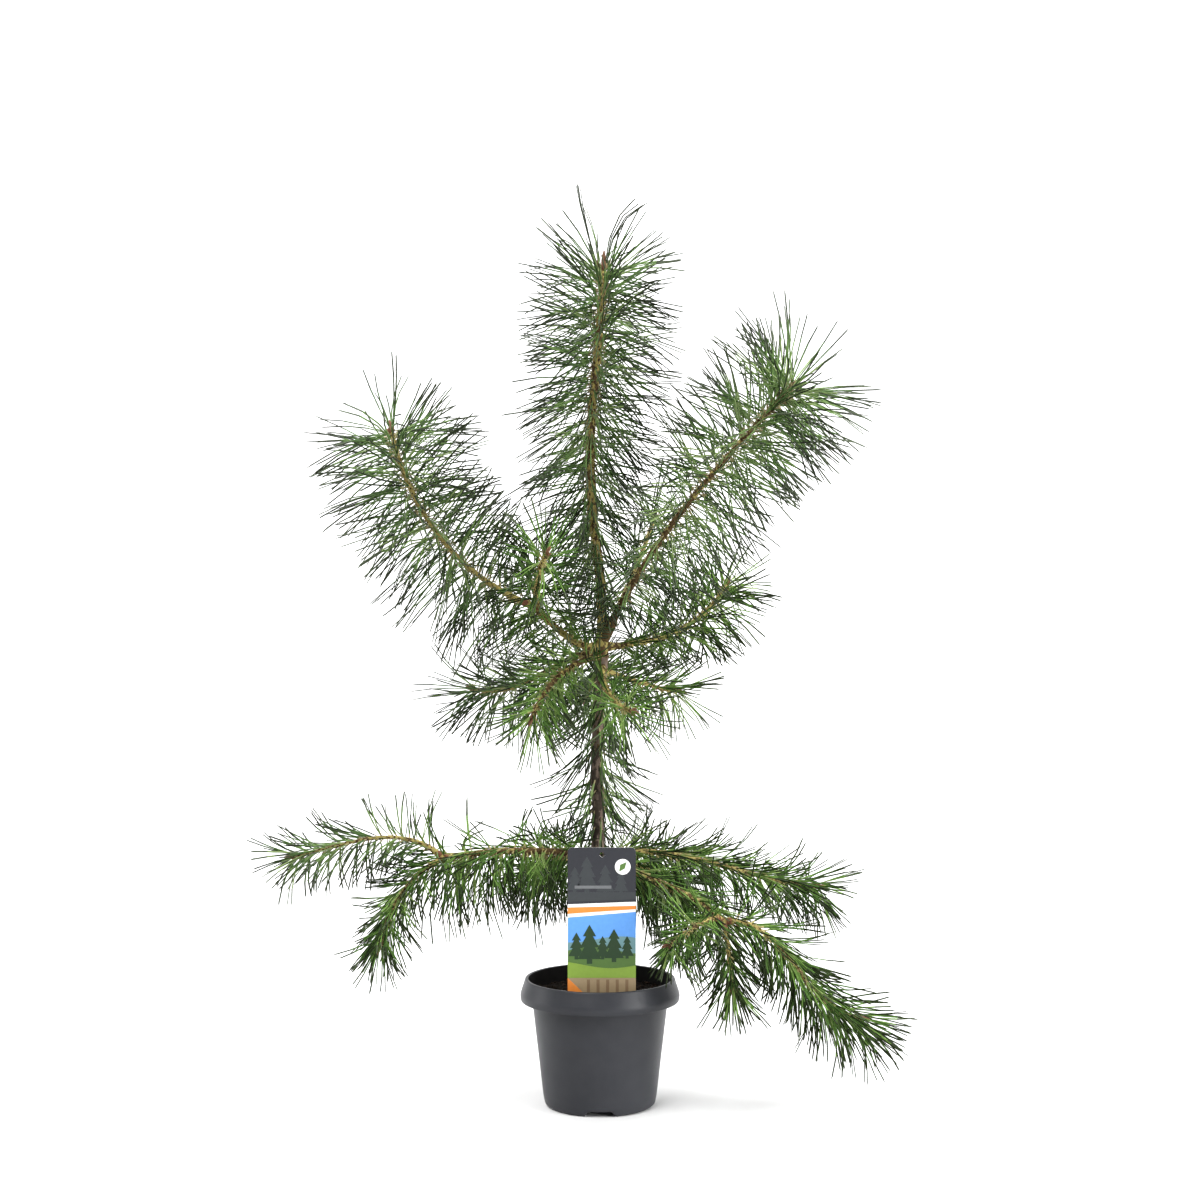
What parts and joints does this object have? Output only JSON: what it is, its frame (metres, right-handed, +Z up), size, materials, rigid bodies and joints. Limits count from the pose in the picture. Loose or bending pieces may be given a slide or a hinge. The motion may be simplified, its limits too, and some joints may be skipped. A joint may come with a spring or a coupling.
{
  "type": "potted scots pine",
  "caption": "Young scots pine with two whorls of long-needled boughs and a tall leader, in a round nursery pot with a picture label.",
  "frame": {"origin": "centre of the pot's flat underside", "axes": "+Z up along the trunk, -Y towards the front, where the label stands; +X to the right seen from the front"},
  "size_m": [0.7598, 0.4405, 1.077],
  "materials": {
    "needles": "satin",
    "bark": "matte",
    "pot_plastic": "matte",
    "potting_soil": "matte",
    "label_card": "satin"
  },
  "bodies": {
    "root": {"label": "label_card", "leader_needles": "needles", "lower_back_left_bough": "bark", "lower_back_left_needles": "needles", "lower_back_right_bough": "bark", "lower_back_right_needles": "needles", "lower_east_bough": "bark", "lower_east_needles": "needles", "lower_left_bough": "bark", "lower_left_front_needles": "needles", "lower_left_needles": "needles", "lower_left_tip_needles": "needles", "lower_right_bough": "bark", "lower_right_drop_needles": "needles", "lower_right_front_needles": "needles", "lower_right_needles": "needles", "lower_right_tip_needles": "needles", "pot": "pot_plastic", "soil": "potting_soil", "trunk": "bark", "trunk_needles_back": "needles", "trunk_needles_left": "needles", "trunk_needles_right": "needles", "upper_back_left_bough": "bark", "upper_back_left_needles": "needles", "upper_back_right_bough": "bark", "upper_back_right_needles": "needles", "upper_east_bough": "bark", "upper_east_needles": "needles", "upper_front_left_bough": "bark", "upper_front_left_needles": "needles", "upper_front_right_bough": "bark", "upper_front_right_needles": "needles", "upper_left_bough": "bark", "upper_left_front_needles": "needles", "upper_left_needles": "needles", "upper_left_tip_needles": "needles", "upper_right_bough": "bark", "upper_right_needles": "needles", "upper_small_right_bough": "bark", "upper_small_right_needles": "needles", "upper_west_bough": "bark", "upper_west_needles": "needles"}
  },
  "joints": []
}
